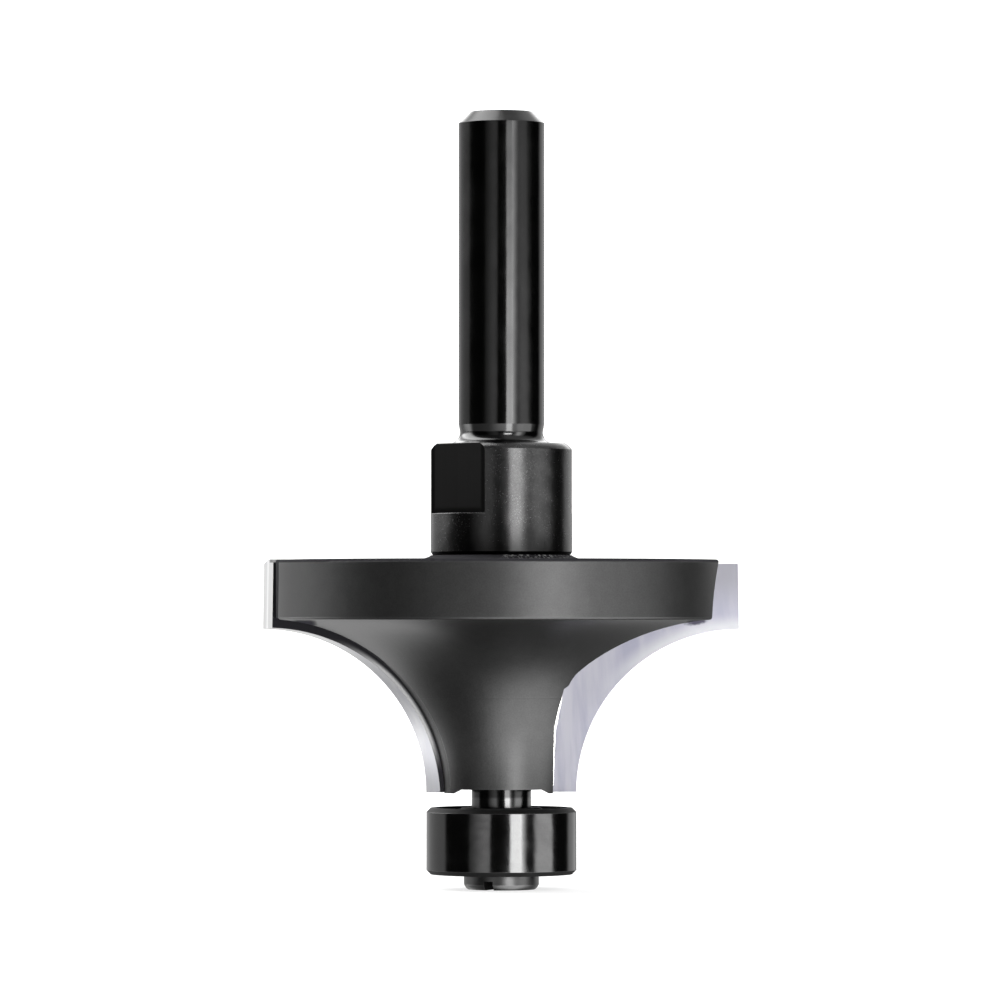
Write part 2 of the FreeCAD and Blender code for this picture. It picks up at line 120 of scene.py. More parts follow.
def add_node(tree, kind, values=None, **settings):
    """New node with its settings and the values of its inputs."""
    node = tree.nodes.new(kind)
    for name, value in settings.items():
        setattr(node, name, value)
    fill_inputs(tree, node.inputs, values or {})
    return node


def calc(tree, operation, first, second=0.0, third=0.0, clamp=False):
    """Output of a Math node."""
    node = add_node(tree, "ShaderNodeMath", {0: first, 1: second, 2: third}, operation=operation,
                    use_clamp=clamp)
    return node.outputs[0]


def product(tree, *factors):
    """Product of numbers and sockets."""
    result = factors[0]
    for factor in factors[1:]:
        result = calc(tree, "MULTIPLY", result, factor)
    return result


def total(tree, *terms):
    """Sum of numbers and sockets."""
    result = terms[0]
    for term in terms[1:]:
        result = calc(tree, "ADD", result, term)
    return result


def length_of(tree, across, up):
    """Length of a vector with two parts: the root of the sum of their squares."""
    return calc(tree, "SQRT", total(tree, product(tree, across, across), product(tree, up, up)))


def inverse(tree, mask):
    """1 where the mask is 0, and 0 where it is 1."""
    return calc(tree, "SUBTRACT", 1.0, mask)


def ramp(tree, value, low, high, from_value=0.0, to_value=1.0):
    """Smooth step from one value to another as the input goes from low to high."""
    node = add_node(tree, "ShaderNodeMapRange", {
        "Value": value, "From Min": low, "From Max": high, "To Min": from_value, "To Max": to_value,
    }, interpolation_type="SMOOTHSTEP")
    return node.outputs["Result"]


def span(tree, value, rise, fall):
    """Smooth mask: it rises from 0 to 1 over the first interval and falls back over the second."""
    return product(tree, ramp(tree, value, rise[0], rise[1]), ramp(tree, value, fall[1], fall[0]))


def split(tree, vector):
    """The three parts of a vector."""
    return tuple(add_node(tree, "ShaderNodeSeparateXYZ", {0: vector}).outputs)


def level_part(tree, x, y, turn):
    """Coordinate along a level direction at an angle from +X towards -Y."""
    return calc(tree, "MULTIPLY_ADD", x, math.cos(turn), calc(tree, "MULTIPLY", y, -math.sin(turn)))


def blend(tree, mask, first, second):
    """Number between two numbers or sockets."""
    node = add_node(tree, "ShaderNodeMix", {0: mask, 2: first, 3: second}, data_type="FLOAT")
    return node.outputs[0]


def blend_colours(tree, mask, first, second):
    """Colour between two colours or sockets."""
    node = add_node(tree, "ShaderNodeMix", {0: mask, 6: first, 7: second}, data_type="RGBA")
    return node.outputs[2]


def grey(level, tint=(1.0, 1.0, 1.0)):
    """Grey of a level, with a tint."""
    return (level * tint[0], level * tint[1], level * tint[2], 1.0)


def bump(tree, height, distance, strength=1.0, normal=None):
    """Normal from a height map; distance is its depth in metres."""
    values = {"Height": height, "Distance": distance, "Strength": strength}
    if normal is not None:
        values["Normal"] = normal
    return add_node(tree, "ShaderNodeBump", values).outputs["Normal"]


def soft_edges(tree, radius):
    """Normal that rounds every sharp edge over a small radius."""
    return add_node(tree, "ShaderNodeBevel", {"Radius": radius}, samples=4).outputs["Normal"]


def new_group(name, inputs, outputs):
    """Shader node group with named sockets. Returns it with its inputs' and outputs' sockets."""
    tree = bpy.data.node_groups.new(name, "ShaderNodeTree")
    for label, kind, value in inputs:
        socket = tree.interface.new_socket(label, in_out="INPUT", socket_type="NodeSocket" + kind)
        if value is not None:
            socket.default_value = value
    for label, kind in outputs:
        tree.interface.new_socket(label, in_out="OUTPUT", socket_type="NodeSocket" + kind)
    return tree, tree.nodes.new("NodeGroupInput").outputs, tree.nodes.new("NodeGroupOutput").inputs


def use_group(tree, group, **values):
    """A group placed in a material, with its inputs' values. Returns its outputs."""
    node = tree.nodes.new("ShaderNodeGroup")
    node.node_tree = group
    fill_inputs(tree, node.inputs, spaced(values))
    return node.outputs


def new_material(name):
    """Material with a Principled shader. Returns it with its tree, shader and Object coordinates."""
    material = bpy.data.materials.new(name)
    material.use_nodes = True
    tree = material.node_tree
    shader = tree.nodes["Principled BSDF"]
    place = add_node(tree, "ShaderNodeTexCoord").outputs["Object"]
    return material, tree, shader, place


def feed(tree, shader, **values):
    """Fills the shader's inputs."""
    fill_inputs(tree, shader.inputs, spaced(values))


# Shared effects

def make_window_group():
    """1 where the value lies between Low and High, fading to 0 over Blur on both sides."""
    tree, given, out = new_group("window", [
        ("Value", "Float", 0.0), ("Low", "Float", 0.0), ("High", "Float", 1.0), ("Blur", "Float", 0.0001),
    ], [("Mask", "Float")])
    rise = calc(tree, "DIVIDE", calc(tree, "SUBTRACT", given["Value"], given["Low"]), given["Blur"])
    fall = calc(tree, "DIVIDE", calc(tree, "SUBTRACT", given["High"], given["Value"]), given["Blur"])
    both = calc(tree, "MINIMUM", rise, fall)
    tree.links.new(calc(tree, "ADD", both, 0.5, clamp=True), out["Mask"])
    return tree


def make_grain_group():
    """Fine grain of a blasted or oxidised surface: Size in metres, Tone and Height from 0 to 1."""
    tree, given, out = new_group("surface grain", [
        ("Vector", "Vector", None), ("Size", "Float", 0.0002), ("Contrast", "Float", 0.5),
    ], [("Tone", "Float"), ("Height", "Float")])
    scale = calc(tree, "DIVIDE", 1.0, given["Size"])
    fine = add_node(tree, "ShaderNodeTexNoise", {
        "Vector": given["Vector"], "Scale": scale, "Detail": 3.0, "Roughness": 0.65})
    coarse = add_node(tree, "ShaderNodeTexNoise", {
        "Vector": given["Vector"], "Scale": calc(tree, "MULTIPLY", scale, 0.13), "Detail": 2.0,
        "Roughness": 0.5})
    drift = calc(tree, "MULTIPLY_ADD", coarse.outputs["Fac"], 0.4, -0.2)
    swing = total(tree, calc(tree, "SUBTRACT", fine.outputs["Fac"], 0.5), drift)
    tone = calc(tree, "MULTIPLY_ADD", swing, given["Contrast"], 0.5, clamp=True)
    tree.links.new(tone, out["Tone"])
    tree.links.new(fine.outputs["Fac"], out["Height"])
    return tree


def make_line_group():
    """Fine lines that a tool or grinding wheel leaves: they repeat along one coordinate, in metres."""
    tree, given, out = new_group("tool lines", [
        ("Along", "Float", 0.0), ("Pitch", "Float", 0.0001),
    ], [("Tone", "Float"), ("Height", "Float")])
    place = calc(tree, "DIVIDE", given["Along"], given["Pitch"])
    fine = add_node(tree, "ShaderNodeTexNoise", {
        "W": place, "Scale": 1.0, "Detail": 2.0, "Roughness": 0.6}, noise_dimensions="1D")
    broad = add_node(tree, "ShaderNodeTexNoise", {
        "W": calc(tree, "MULTIPLY", place, 0.12), "Scale": 1.0, "Detail": 1.0}, noise_dimensions="1D")
    tone = total(tree, product(tree, fine.outputs["Fac"], 0.6), product(tree, broad.outputs["Fac"], 0.4))
    tree.links.new(tone, out["Tone"])
    tree.links.new(fine.outputs["Fac"], out["Height"])
    return tree


def make_handling_group():
    """Faint cloudy film that handling leaves on polished steel, from 0 to 1, and its slow swell."""
    tree, given, out = new_group("handling film", [
        ("Vector", "Vector", None), ("Size", "Float", 0.004),
    ], [("Mask", "Float"), ("Height", "Float")])
    scale = calc(tree, "DIVIDE", 1.0, given["Size"])
    cloud = add_node(tree, "ShaderNodeTexNoise", {
        "Vector": given["Vector"], "Scale": scale, "Detail": 4.0, "Roughness": 0.6, "Distortion": 0.3})
    wave = add_node(tree, "ShaderNodeTexNoise", {
        "Vector": given["Vector"], "Scale": calc(tree, "MULTIPLY", scale, 1.7), "Detail": 1.0})
    tree.links.new(ramp(tree, cloud.outputs["Fac"], 0.35, 0.7), out["Mask"])
    tree.links.new(wave.outputs["Fac"], out["Height"])
    return tree


def make_speck_group():
    """Scattered small specks, 1 on a speck and 0 between them. A larger Share makes more of them."""
    tree, given, out = new_group("bright specks", [
        ("Vector", "Vector", None), ("Size", "Float", 0.0002), ("Share", "Float", 0.2),
    ], [("Mask", "Float")])
    dots = add_node(tree, "ShaderNodeTexNoise", {
        "Vector": given["Vector"], "Scale": calc(tree, "DIVIDE", 1.0, given["Size"]), "Detail": 1.0,
        "Roughness": 0.5})
    edge = calc(tree, "MULTIPLY_ADD", given["Share"], -0.45, 0.72)
    tree.links.new(ramp(tree, dots.outputs["Fac"], edge, calc(tree, "ADD", edge, 0.05)), out["Mask"])
    return tree


window = make_window_group()
grain = make_grain_group()
specks = make_speck_group()
tool_lines = make_line_group()
handling = make_handling_group()


def between(tree, value, low, high, blur):
    """Mask of the values between two limits, from the window group."""
    return use_group(tree, window, Value=value, Low=low, High=high, Blur=blur)["Mask"]


# Finishes

def make_black_steel():
    """Arbor: polished black shank and neck, satin collar, milled spanner flats with painted shade on their
    borders.
    """
    material, tree, shader, place = new_material("arbor_black_oxide")
    x, y, z = split(tree, place)
    sideways = level_part(tree, x, y, flat_turn)
    off_middle = calc(tree, "ABSOLUTE", sideways)
    off_axis = calc(tree, "ABSOLUTE", level_part(tree, x, y, flat_turn - math.pi / 2))
    on_collar = between(tree, z, z_seat - 1 * mm, z_collar_top - 0.05 * mm, 0.05 * mm)
    within = calc(tree, "LESS_THAN", off_middle, flat_half_w)
    on_flat = product(
        tree, on_collar, within, calc(tree, "GREATER_THAN", z, z_flat_foot),
        calc(tree, "GREATER_THAN", off_axis, flat_half - 0.01 * mm),
        calc(tree, "LESS_THAN", off_axis, flat_half + 0.01 * mm))
    # Painted shade: each flat darkens towards its side edges and its foot
    flat_edge_shade = calc(tree, "MAXIMUM", ramp(tree, off_middle, *flat_border),
                  ramp(tree, z, z_flat_foot + 0.7 * mm, z_flat_foot + 0.2 * mm))
    # Painted highlight: a bright line on the ledge at the foot of the flats
    ledge_highlight = product(
        tree, between(tree, z, z_flat_foot - 0.07 * mm, z_flat_foot + 0.01 * mm, 0.03 * mm), within,
        calc(tree, "GREATER_THAN", off_axis, flat_half))
    # Painted shade: the part under the collar's foot, in the seam with the head, is near black
    seam_shade = product(tree, on_collar, calc(tree, "LESS_THAN", z, z_collar_foot))
    on_low_neck = ramp(tree, z, z_neck + 1.1 * mm, z_neck + 0.8 * mm)

    film = use_group(tree, handling, Vector=place, Size=4 * mm)
    lines = use_group(tree, tool_lines, Along=z, Pitch=0.06 * mm)
    milled = use_group(tree, tool_lines, Along=sideways, Pitch=0.09 * mm)
    skin = use_group(tree, grain, Vector=place, Size=0.2 * mm, Contrast=1.7)
    sparks = use_group(tree, specks, Vector=place, Size=0.17 * mm, Share=0.07)

    # Painted shade: the shank's colour darkens towards its top, where the key light's highlight fades
    shank_tone = blend_colours(tree, ramp(tree, z, z_dark_shank, z_light_shank), grey(0.026), grey(0.036))
    shank_tone = blend_colours(tree, on_low_neck, shank_tone, grey(0.09))
    satin_tone = blend_colours(tree, skin["Tone"], grey(0.034), grey(0.060))
    satin_tone = blend_colours(tree, sparks["Mask"], satin_tone, grey(0.080))
    # Painted shade: the collar darkens over the 3 mm above the seam, where the flange blocks the light
    satin_tone = blend_colours(tree, ramp(tree, z, z_seat + 3 * mm, z_seat), satin_tone, grey(0.022))
    satin_tone = blend_colours(tree, seam_shade, satin_tone, grey(0.004))
    flat_tone = blend_colours(tree, milled["Tone"], grey(0.008), grey(0.013))
    flat_tone = blend_colours(tree, flat_edge_shade, flat_tone, grey(0.004))
    tone = blend_colours(tree, on_collar, shank_tone, satin_tone)
    tone = blend_colours(tree, on_flat, tone, flat_tone)
    tone = blend_colours(tree, ledge_highlight, tone, grey(0.12))

    polished = calc(tree, "MULTIPLY_ADD", film["Mask"], 0.05, 0.14)
    satin = calc(tree, "MULTIPLY_ADD", skin["Tone"], 0.08, 0.21)
    roughness = blend(tree, on_flat, blend(tree, on_collar, polished, satin), 0.4)
    swell = product(tree, film["Height"], blend(tree, on_collar, 0.25, 1.0))
    wavy = bump(tree, swell, 0.05 * mm, normal=soft_edges(tree, 0.06 * mm))
    lined = bump(tree, lines["Height"], 0.0002 * mm, normal=wavy)
    rough = bump(tree, product(tree, skin["Height"], on_collar), 0.005 * mm, normal=lined)
    feed(tree, shader, Base_Color=tone, Roughness=roughness, Metallic=inverse(tree, on_flat),
         Specular_IOR_Level=0.0, Normal=rough, Anisotropic=0.55, Anisotropic_Rotation=0.25)
    tangent = add_node(tree, "ShaderNodeTangent", direction_type="RADIAL", axis="Z")
    tree.links.new(tangent.outputs[0], shader.inputs["Tangent"])
    return material


def make_blasted_steel():
    """Cutter head: matte blasted black, tinted by the brazing heat beside the tips.

    The band ground behind each tip is nearly black. The flange's top rim is painted dark and dull as painted
    shade, and bright specks on the hub's top, near the front where the key light falls, are painted
    highlights.
    """
    material, tree, shader, place = new_material("head_blasted")
    x, y, z = split(tree, place)
    side = calc(tree, "SIGN", x)
    behind = product(tree, y, side)
    out_x = product(tree, x, side)

    band_growth = (band_top_w - band_foot_w) / (z_flange_top - z_foot)
    above_foot = calc(tree, "SUBTRACT", z, z_foot)
    band_end = total(tree, calc(tree, "MULTIPLY_ADD", above_foot, band_growth, band_foot_w), tip_back_y)
    from_centre = length_of(tree, calc(tree, "SUBTRACT", cove_centre_x, out_x), above_foot)
    outside = calc(tree, "MAXIMUM", calc(tree, "LESS_THAN", from_centre, band_r),
                   calc(tree, "GREATER_THAN", out_x, band_rim_x))
    on_band = product(tree, between(tree, behind, 1.3 * mm, band_end, 0.04 * mm), outside,
                      calc(tree, "LESS_THAN", z, z_flange_top - 0.02 * mm))

    flat_place = add_node(tree, "ShaderNodeCombineXYZ", {0: x, 1: y}).outputs[0]
    radius = add_node(tree, "ShaderNodeVectorMath", {0: flat_place}, operation="LENGTH").outputs["Value"]
    sparks = use_group(tree, specks, Vector=place, Size=0.3 * mm, Share=0.45)
    # Painted highlights: bright specks on the hub's top near the front, where the key light falls
    hub_key_glints = product(
        tree, calc(tree, "LESS_THAN", radius, hub_r), calc(tree, "GREATER_THAN", z, z_hub_foot),
        sparks["Mask"], ramp(tree, x, -0.5 * mm, 1.0 * mm), ramp(tree, x, 5.5 * mm, 3.5 * mm, 0.3, 1.0))
    # Painted shade: the flange's top rim is dark and dull
    flange_top_shade = ramp(tree, z, z_flange_top - 0.36 * mm, z_flange_top - 0.2 * mm)
    # Painted shade: a dark purple patch on the wing under the flange's corner
    wing_shade = product(tree, between(tree, out_x, *wing_shade_x, 0.6 * mm),
                    between(tree, z, *wing_shade_z, 0.2 * mm))
    # Dull, dark and not metallic: the ground band behind each tip, and the painted shade on the wing and the
    # flange's top
    dull = calc(tree, "MAXIMUM", calc(tree, "MAXIMUM", on_band, wing_shade),
                calc(tree, "SUBTRACT", flange_top_shade, hub_key_glints, clamp=True))
    heated = product(tree, ramp(tree, calc(tree, "ABSOLUTE", y), 6 * mm, 2 * mm),
                     ramp(tree, out_x, 8 * mm, 20 * mm))

    skin = use_group(tree, grain, Vector=place, Size=0.14 * mm, Contrast=1.2)
    lines = use_group(tree, tool_lines, Along=z, Pitch=0.05 * mm)
    heat_tint = (1.05, 1.0, 1.22)
    blasted = blend_colours(tree, skin["Tone"], grey(0.037), grey(0.056))
    tinted = blend_colours(tree, skin["Tone"], grey(0.037, heat_tint), grey(0.056, heat_tint))
    tone = blend_colours(tree, heated, blasted, tinted)
    tone = blend_colours(tree, hub_key_glints, tone, grey(0.3))
    tone = blend_colours(tree, dull, tone, grey(0.012, (1.0, 0.97, 1.12)))
    tone = blend_colours(tree, wing_shade, tone, grey(0.008, (1.0, 0.9, 1.5)))

    roughness = blend(tree, dull, calc(tree, "MULTIPLY_ADD", skin["Tone"], 0.04, 0.38), 0.95)
    score = between(tree, z, z_score - 0.04 * mm, z_score + 0.04 * mm, 0.06 * mm)
    pitted = bump(tree, product(tree, skin["Height"], inverse(tree, on_band)), 0.006 * mm,
                  normal=soft_edges(tree, 0.1 * mm))
    scored = bump(tree, score, 0.01 * mm, strength=0.5, normal=pitted)
    ground = bump(tree, product(tree, lines["Height"], on_band), 0.0006 * mm, normal=scored)
    feed(tree, shader, Base_Color=tone, Roughness=roughness, Metallic=inverse(tree, dull),
         Specular_IOR_Level=0.1, Normal=ground)
    return material


def carbide_rake_tone(tree, z, streaks, cut_edge_highlight, gap_shade):
    """Colour of a tip's rake face: painted shade at the top, darker at the foot, and a painted highlight
    along the cut arc.
    """
    low_tint, high_tint = (0.97, 0.97, 1.17), (1.0, 0.99, 1.10)
    tone = blend_colours(tree, streaks, grey(0.26, low_tint), grey(0.33, high_tint))
    # Painted shade: the rake face darkens towards its top, where the flange's wall blocks the light
    tone = blend_colours(tree, ramp(tree, z, 25 * mm, 29.5 * mm), tone, grey(0.215, high_tint))
    foot_tone = blend_colours(tree, streaks, grey(0.22, low_tint), grey(0.30, high_tint))
    tone = blend_colours(tree, ramp(tree, z, 17 * mm, 12 * mm), tone, foot_tone)
    # Painted highlight along the cut arc
    tone = blend_colours(tree, cut_edge_highlight, tone, grey(0.40, (1.0, 1.0, 1.05)))
    # Painted shade under the flange's corner
    return blend_colours(tree, gap_shade, tone, grey(0.055, (1.0, 0.95, 1.3)))


def carbide_land_tone(tree, z, behind, streaks):
    """Colour of a tip's relieved faces: bright on the side, with a glint, and painted shade on the rear of
    the top.
    """
    glint = between(tree, behind, 1.8 * mm, 2.15 * mm, 0.15 * mm)
    # Painted shade: the rear of the tip's top edge is darker
    top_edge_shade = product(tree, ramp(tree, behind, 2.2 * mm, 2.5 * mm),
                       ramp(tree, z, z_tip_top - 0.34 * mm, z_tip_top - 0.24 * mm))
    tone = blend_colours(tree, streaks, grey(0.27, (0.99, 0.99, 1.06)), grey(0.34))
    side_tone = blend_colours(tree, glint, grey(0.54), grey(0.68))
    tone = blend_colours(tree, ramp(tree, z, 20 * mm, 24.5 * mm), tone, side_tone)
    return blend_colours(tree, top_edge_shade, tone, grey(0.16))


def make_carbide():
    """Brazed tips: lavender-grey carbide, finely ground.

    The back is black from brazing, but for an unblackened rim beside the lower part of the cut arc. A dark
    patch with a ragged edge is painted shade on the rake face under the flange.
    """
    material, tree, shader, place = new_material("tip_carbide")
    x, y, z = split(tree, place)
    side = calc(tree, "SIGN", x)
    behind = product(tree, y, side)
    out_x = product(tree, x, side)
    on_back = calc(tree, "GREATER_THAN", behind, tip_back_y - 0.02 * mm)
    relieved = calc(tree, "GREATER_THAN", behind, rake_y + 0.02 * mm)

    from_cut = calc(tree, "SUBTRACT", length_of(
        tree, calc(tree, "SUBTRACT", out_x, cut_centre_x), calc(tree, "SUBTRACT", z, z_foot)), cut_r)
    # Painted highlight: a band within 1.6 mm of the cut arc, above 17 mm
    cut_edge_highlight = product(tree, ramp(tree, from_cut, 1.6 * mm, 0.1 * mm), ramp(tree, z, 17 * mm, 23 * mm))
    from_back = calc(tree, "SUBTRACT", length_of(
        tree, calc(tree, "SUBTRACT", out_x, back_centre_x), calc(tree, "SUBTRACT", z, back_centre_z)), back_r)
    bare_rim = product(tree, ramp(tree, from_back, 0.5 * mm, 0.1 * mm),
                       span(tree, z, (11 * mm, 15 * mm), (20 * mm, 23.5 * mm)))
    black = product(tree, on_back, inverse(tree, bare_rim))

    # Painted shade: a dark patch with a ragged edge on the rake face under the flange's corner
    gap_shade_across = calc(tree, "DIVIDE", calc(tree, "SUBTRACT", out_x, gap_shade_x), gap_shade_half_w)
    gap_shade_up = calc(tree, "DIVIDE", calc(tree, "SUBTRACT", calc(
        tree, "MULTIPLY_ADD", out_x, -gap_shade_slope, z), gap_shade_z), gap_shade_half_h)
    ragged = use_group(tree, handling, Vector=place, Size=0.5 * mm)["Height"]
    gap_shade = ramp(tree, total(tree, product(tree, gap_shade_across, gap_shade_across),
                            product(tree, gap_shade_up, gap_shade_up), ragged), 1.8, 0.6)

    slant = calc(tree, "MULTIPLY_ADD", x, 0.995, calc(tree, "MULTIPLY", z, 0.07))
    stretched = add_node(tree, "ShaderNodeCombineXYZ", {
        0: slant, 1: y, 2: calc(tree, "MULTIPLY", z, 0.12)}).outputs[0]
    fine = use_group(tree, tool_lines, Along=slant, Pitch=0.05 * mm)
    streaks = use_group(tree, handling, Vector=stretched, Size=2.2 * mm)["Mask"]
    skin = use_group(tree, grain, Vector=place, Size=0.08 * mm, Contrast=0.8)
    tone = blend_colours(tree, relieved, carbide_rake_tone(tree, z, streaks, cut_edge_highlight, gap_shade),
                         carbide_land_tone(tree, z, behind, streaks))
    tone = blend_colours(tree, on_back, tone, grey(0.32))
    tone = blend_colours(tree, black, tone, grey(0.009, (1.0, 0.97, 1.15)))

    roughness = blend(tree, black, calc(tree, "MULTIPLY_ADD", fine["Tone"], 0.08, 0.36), 0.9)
    ground = bump(tree, fine["Height"], 0.0005 * mm, normal=soft_edges(tree, 0.03 * mm))
    pitted = bump(tree, skin["Height"], 0.0008 * mm, normal=ground)
    feed(tree, shader, Base_Color=tone, Roughness=roughness, Metallic=inverse(tree, black),
         Specular_IOR_Level=0.1, Normal=pitted)
    return material


def make_black_bearing():
    """Outer ring of the guide bearing: bright black rim, dull black bevels and side faces."""
    material, tree, shader, place = new_material("bearing_black")
    z = split(tree, place)[2]
    film = use_group(tree, handling, Vector=place, Size=2.5 * mm)
    lines = use_group(tree, tool_lines, Along=z, Pitch=0.08 * mm)
    skin = use_group(tree, grain, Vector=place, Size=0.15 * mm, Contrast=1.0)
    on_rim = between(tree, z, z_bearing + ring_bevel, z_neck - ring_bevel, 0.03 * mm)
    on_face = ramp(tree, z, z_neck - 0.06 * mm, z_neck - 0.01 * mm)
    roughness = blend(tree, on_rim, 0.6, calc(tree, "MULTIPLY_ADD", film["Mask"], 0.05, 0.10))
    rim_tone = blend_colours(tree, lines["Tone"], grey(0.060), grey(0.078))
    dull_tone = blend_colours(tree, on_face, grey(0.003), grey(0.012))
    tone = blend_colours(tree, on_rim, dull_tone, rim_tone)
    tone = blend_colours(tree, product(tree, on_rim, skin["Tone"]), tone, grey(0.085))
    wavy = bump(tree, film["Height"], 0.010 * mm, normal=soft_edges(tree, 0.05 * mm))
    feed(tree, shader, Base_Color=tone, Roughness=roughness, Metallic=on_rim, Specular_IOR_Level=0.1,
         Normal=bump(tree, lines["Height"], 0.0003 * mm, normal=wavy))
    return material


def make_screw_steel():
    """Bearing screw: satin black with circular tool lines. The slot's walls are painted shade: near black and
    dull.
    """
    material, tree, shader, place = new_material("screw_black_oxide")
    x, y, z = split(tree, place)
    across = level_part(tree, x, y, slot_turn)
    # Painted shade: the slot's walls are near black and dull
    slot_shade = product(
        tree, calc(tree, "LESS_THAN", calc(tree, "ABSOLUTE", across), slot_half_w + 0.02 * mm),
        calc(tree, "LESS_THAN", z, slot_depth + 0.02 * mm))
    film = use_group(tree, handling, Vector=place, Size=1.5 * mm)
    lines = use_group(tree, tool_lines, Along=z, Pitch=0.07 * mm)
    tone = blend_colours(tree, lines["Tone"], grey(0.055), grey(0.085))
    tone = blend_colours(tree, slot_shade, tone, grey(0.003))
    roughness = blend(tree, slot_shade, calc(tree, "MULTIPLY_ADD", film["Mask"], 0.12, 0.28), 0.9)
    wavy = bump(tree, film["Height"], 0.01 * mm, normal=soft_edges(tree, 0.05 * mm))
    feed(tree, shader, Base_Color=tone, Roughness=roughness, Metallic=inverse(tree, slot_shade),
         Specular_IOR_Level=0.0, Normal=bump(tree, lines["Height"], 0.0005 * mm, normal=wavy))
    return material


def make_bearing_steel():
    """Inner ring and balls: polished steel. The ring's side faces and bevels are dull black."""
    material, tree, shader, place = new_material("bearing_polished")
    z = split(tree, place)[2]
    polished = between(tree, z, z_bearing + 0.45 * mm, z_neck - 0.45 * mm, 0.02 * mm)
    film = use_group(tree, handling, Vector=place, Size=2 * mm)
    bright = blend_colours(tree, film["Mask"], grey(0.20), grey(0.26))
    tone = blend_colours(tree, polished, grey(0.010), bright)
    roughness = blend(tree, polished, 0.7, calc(tree, "MULTIPLY_ADD", film["Mask"], 0.08, 0.16))
    feed(tree, shader, Base_Color=tone, Roughness=roughness, Metallic=polished, Specular_IOR_Level=0.1,
         Normal=bump(tree, film["Height"], 0.003 * mm, normal=soft_edges(tree, 0.05 * mm)))
    return material


def make_shield_steel():
    """Shields and their retaining rings: dull black pressed sheet."""
    material, tree, shader, place = new_material("shield_blackened")
    skin = use_group(tree, grain, Vector=place, Size=0.1 * mm, Contrast=1.0)
    tone = blend_colours(tree, skin["Tone"], grey(0.012), grey(0.022))
    roughness = calc(tree, "MULTIPLY_ADD", skin["Tone"], 0.1, 0.55)
    feed(tree, shader, Base_Color=tone, Roughness=roughness, Specular_IOR_Level=0.1,
         Normal=bump(tree, skin["Height"], 0.001 * mm, normal=soft_edges(tree, 0.04 * mm)))
    return material


def make_cage_steel():
    """Cage and rivets: bright pressed sheet with a cloudy film."""
    material, tree, shader, place = new_material("cage_pressed")
    film = use_group(tree, handling, Vector=place, Size=2 * mm)
    tone = blend_colours(tree, film["Mask"], grey(0.42), grey(0.52))
    roughness = calc(tree, "MULTIPLY_ADD", film["Mask"], 0.1, 0.24)
    feed(tree, shader, Base_Color=tone, Roughness=roughness, Metallic=1.0,
         Normal=bump(tree, film["Height"], 0.003 * mm, normal=soft_edges(tree, 0.03 * mm)))
    return material


def make_braze():
    """Silver braze: bright, a little lumpy."""
    material, tree, shader, place = new_material("silver_braze")
    skin = use_group(tree, grain, Vector=place, Size=0.3 * mm, Contrast=1.0)
    tone = blend_colours(tree, skin["Tone"], grey(0.72, (1.0, 0.98, 0.95)), grey(0.9, (1.0, 0.99, 0.97)))
    roughness = calc(tree, "MULTIPLY_ADD", skin["Tone"], 0.15, 0.18)
    feed(tree, shader, Base_Color=tone, Roughness=roughness, Metallic=1.0,
         Normal=bump(tree, skin["Height"], 0.01 * mm))
    return material


finishes = {
    "black_steel": make_black_steel(),
    "blasted_steel": make_blasted_steel(),
    "carbide": make_carbide(),
    "screw_steel": make_screw_steel(),
    "black_bearing": make_black_bearing(),
    "bearing_steel": make_bearing_steel(),
    "shield_steel": make_shield_steel(),
    "cage_steel": make_cage_steel(),
}
for part in frame["record"]["subparts"]:
    frame["nodes"][part["node"]].material_slots[0].material = finishes[part["material_slot"]]


# Added pieces

def quad_strips(count, around):
    """Faces between neighbouring rows of points, each row a closed ring of so many points."""
    step = np.arange(count - 1)[:, None] * around
    here = np.arange(around)
    after = (here + 1) % around
    sides = np.stack([step + here, step + after, step + around + after, step + around + here], axis=-1)
    return sides.reshape(-1, 4).tolist()


def new_piece(name, rows, faces, material):
    """Smooth-shaded object from rows of points and a list of faces."""
    mesh = bpy.data.meshes.new(name)
    mesh.from_pydata(rows.reshape(-1, 3).tolist(), [], faces)
    mesh.update()
    mesh.shade_smooth()
    mesh.materials.append(material)
    piece = bpy.data.objects.new(name, mesh)
    bpy.context.scene.collection.objects.link(piece)
    return piece


def solid_from_rows(name, rows, material):
    """Closed tube over rows of points: each row is one section, and flat caps close both ends."""
    count, around, _ = rows.shape
    first_cap = list(range(around - 1, -1, -1))
    last_cap = [(count - 1) * around + index for index in range(around)]
    return new_piece(name, rows, quad_strips(count, around) + [first_cap, last_cap], material)


